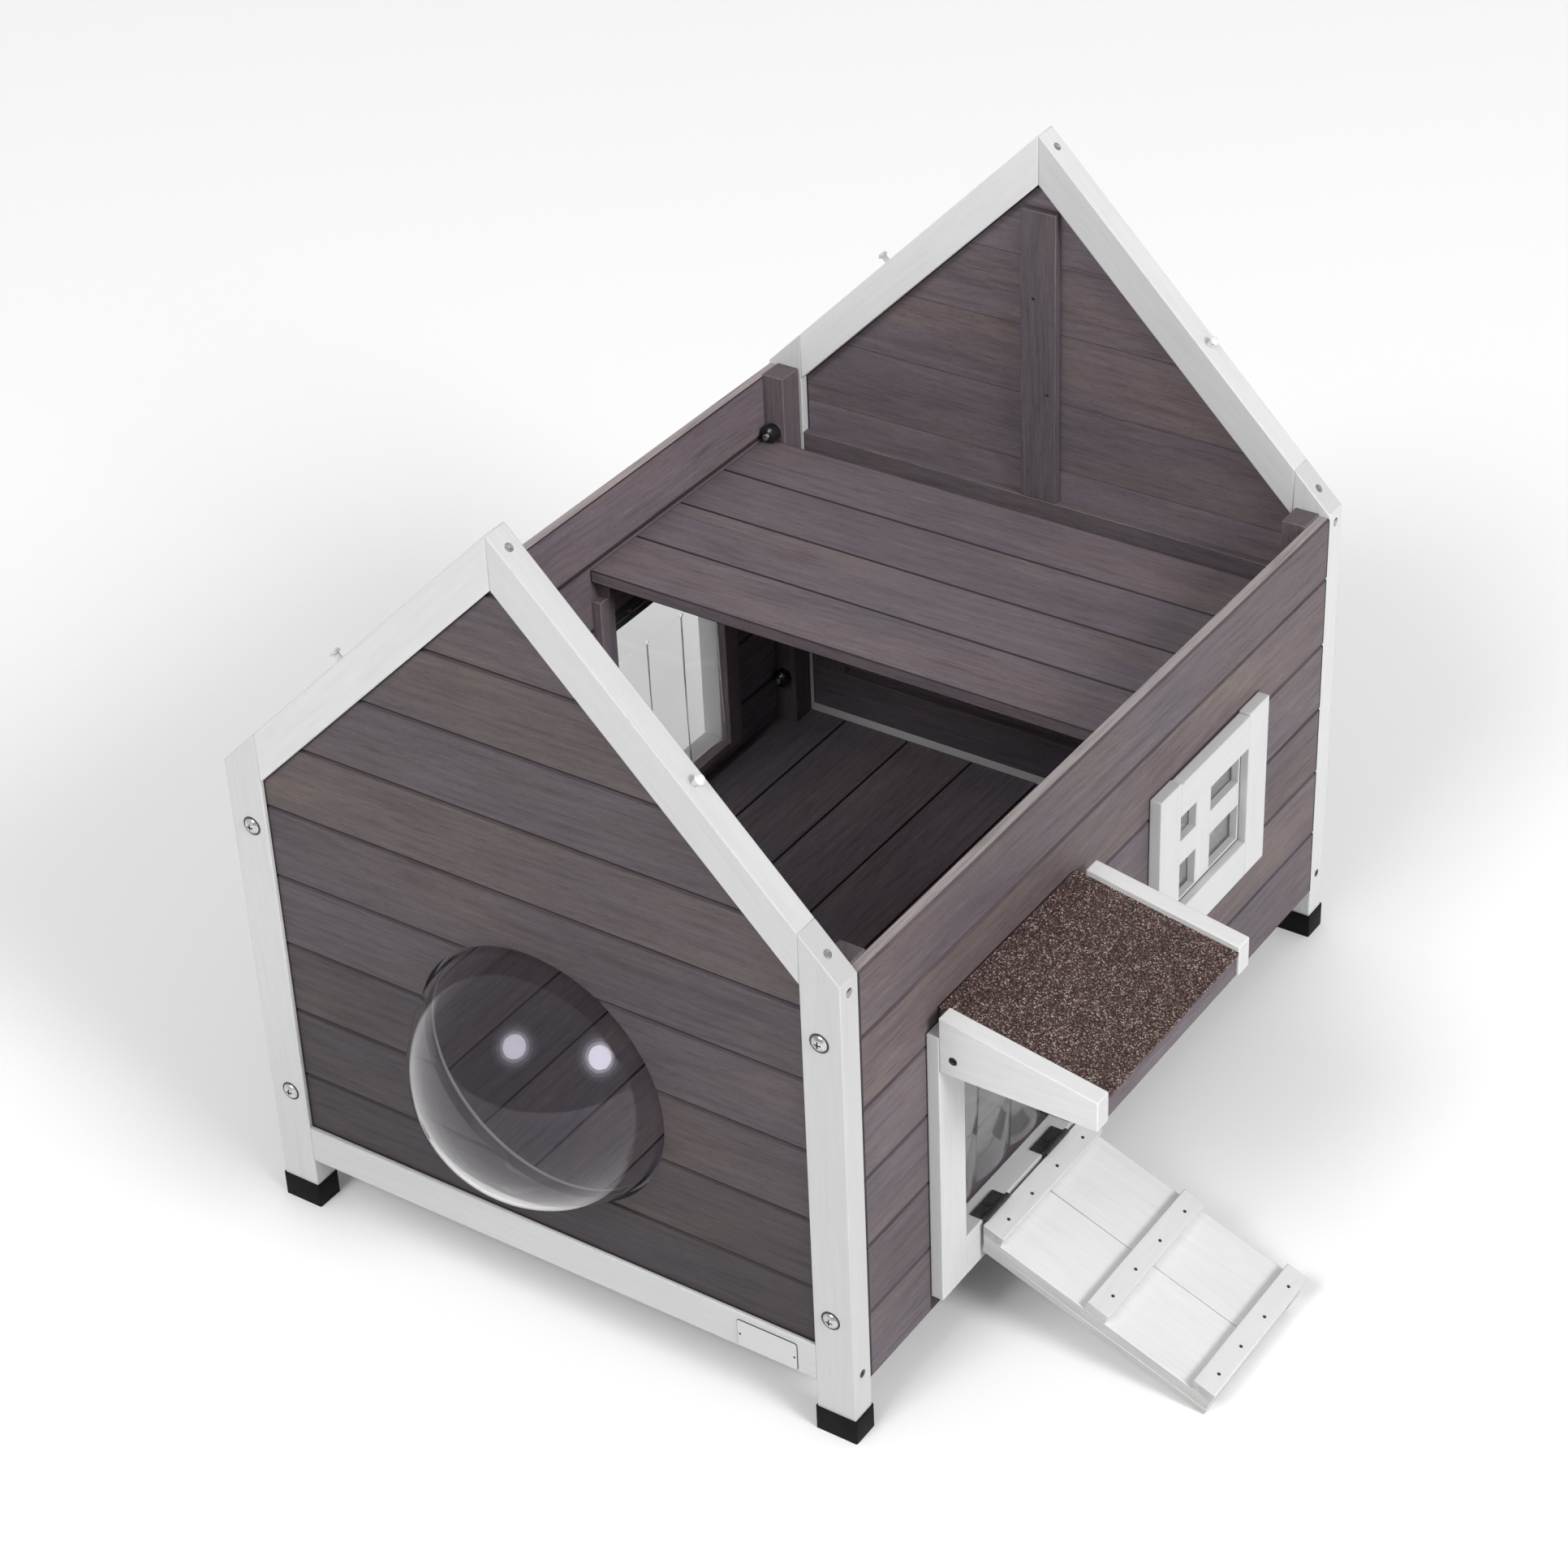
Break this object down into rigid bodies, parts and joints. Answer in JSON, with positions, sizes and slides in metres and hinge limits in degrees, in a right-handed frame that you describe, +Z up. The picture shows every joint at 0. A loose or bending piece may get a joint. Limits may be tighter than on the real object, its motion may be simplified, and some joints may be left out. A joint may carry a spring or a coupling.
{
  "type": "outdoor cat house",
  "caption": "Gabled wooden cat house without its roof, with a bubble window, two strip-curtain doors, an inner deck, a canopy and a hinged ramp.",
  "frame": {"origin": "on the ground under the middle of the whole part's footprint box, ramp and bubble included", "axes": "+X to the ramp side, +Y from the bubble gable to the back gable, +Z up"},
  "size_m": [0.8022, 0.8764, 0.726],
  "materials": {
    "white_paint": "white water based paint on softwood, satin",
    "grey_stain": "grey brown stain on softwood, matt, grain showing",
    "dark_stain": "darker grey stain on softwood, matt",
    "clear_acrylic": "clear blown acrylic, polished",
    "clear_sheet": "clear acrylic sheet",
    "clear_pvc": "soft clear sheet, slightly wavy",
    "mineral_sheet": "bitumen sheet with brown mineral grains",
    "black_plastic": "moulded, fine matt",
    "black_steel": "black coat",
    "zinc_steel": "bright zinc"
  },
  "bodies": {
    "root": {"front_post_left": "white_paint", "front_post_right": "white_paint", "back_post_left": "white_paint", "back_post_right": "white_paint", "front_rafter_left": "white_paint", "front_rafter_right": "white_paint", "back_rafter_left": "white_paint", "back_rafter_right": "white_paint", "front_bottom_rail": "white_paint", "back_bottom_rail": "white_paint", "front_planks": "grey_stain", "front_window_planks": "grey_stain", "back_planks": "grey_stain", "front_gable_battens": "dark_stain", "back_gable_battens": "dark_stain", "bubble_window": "clear_acrylic", "right_wall_planks": "grey_stain", "left_wall_planks": "grey_stain", "corner_posts": "dark_stain", "floor_planks": "dark_stain", "floor_bearers": "dark_stain", "deck_planks": "grey_stain", "deck_supports": "dark_stain", "right_door_stiles": "white_paint", "right_door_sill": "white_paint", "right_door_header": "white_paint", "left_door_stiles": "white_paint", "left_door_sill": "white_paint", "left_door_header": "white_paint", "right_wall_battens": "dark_stain", "left_wall_battens": "dark_stain", "window_stiles": "white_paint", "window_rails": "white_paint", "window_lattice": "white_paint", "window_glazing": "clear_sheet", "canopy_brackets": "white_paint", "canopy_board": "dark_stain", "canopy_battens": "dark_stain", "canopy_shingle": "mineral_sheet", "hinge_sill_leaves": "black_steel", "right_flap_sheet": "clear_pvc", "left_flap_sheet": "clear_pvc", "panel_bolts": "zinc_steel", "knob_nuts": "black_plastic", "foot_caps": "black_plastic", "roof_pegs": "white_paint", "frame_screws": "zinc_steel", "small_screws": "zinc_steel"},
    "ramp": {"ramp_boards": "white_paint", "ramp_cleats": "white_paint", "ramp_rails": "white_paint", "ramp_nails": "zinc_steel", "hinge_ramp_leaves": "black_steel"},
    "right_flap_strip_1": {"right_flap_strip_1": "clear_pvc"},
    "right_flap_strip_2": {"right_flap_strip_2": "clear_pvc"},
    "right_flap_strip_3": {"right_flap_strip_3": "clear_pvc"},
    "left_flap_strip_1": {"left_flap_strip_1": "clear_pvc"},
    "left_flap_strip_2": {"left_flap_strip_2": "clear_pvc"},
    "left_flap_strip_3": {"left_flap_strip_3": "clear_pvc"}
  },
  "joints": [
    {"name": "ramp_hinge", "type": "hinge", "parent": "root", "child": "ramp", "pos_m": [0.19395, -0.11425, 0.107], "axis": [0, -1, 0], "range_deg": [0, 75]},
    {"name": "right_strip_1_swing", "type": "hinge", "parent": "root", "child": "right_flap_strip_1", "pos_m": [0.1692, -0.17258, 0.262], "axis": [0, 1, 0], "range_deg": [-65, 65]},
    {"name": "right_strip_2_swing", "type": "hinge", "parent": "root", "child": "right_flap_strip_2", "pos_m": [0.1692, -0.11925, 0.262], "axis": [0, 1, 0], "range_deg": [-65, 65]},
    {"name": "right_strip_3_swing", "type": "hinge", "parent": "root", "child": "right_flap_strip_3", "pos_m": [0.1692, -0.06592, 0.262], "axis": [0, 1, 0], "range_deg": [-65, 65]},
    {"name": "left_strip_1_swing", "type": "hinge", "parent": "root", "child": "left_flap_strip_1", "pos_m": [-0.37931, 0.26508, 0.262], "axis": [0, -1, 0], "range_deg": [-65, 65]},
    {"name": "left_strip_2_swing", "type": "hinge", "parent": "root", "child": "left_flap_strip_2", "pos_m": [-0.37931, 0.21175, 0.262], "axis": [0, -1, 0], "range_deg": [-65, 65]},
    {"name": "left_strip_3_swing", "type": "hinge", "parent": "root", "child": "left_flap_strip_3", "pos_m": [-0.37931, 0.15842, 0.262], "axis": [0, -1, 0], "range_deg": [-65, 65]}
  ]
}
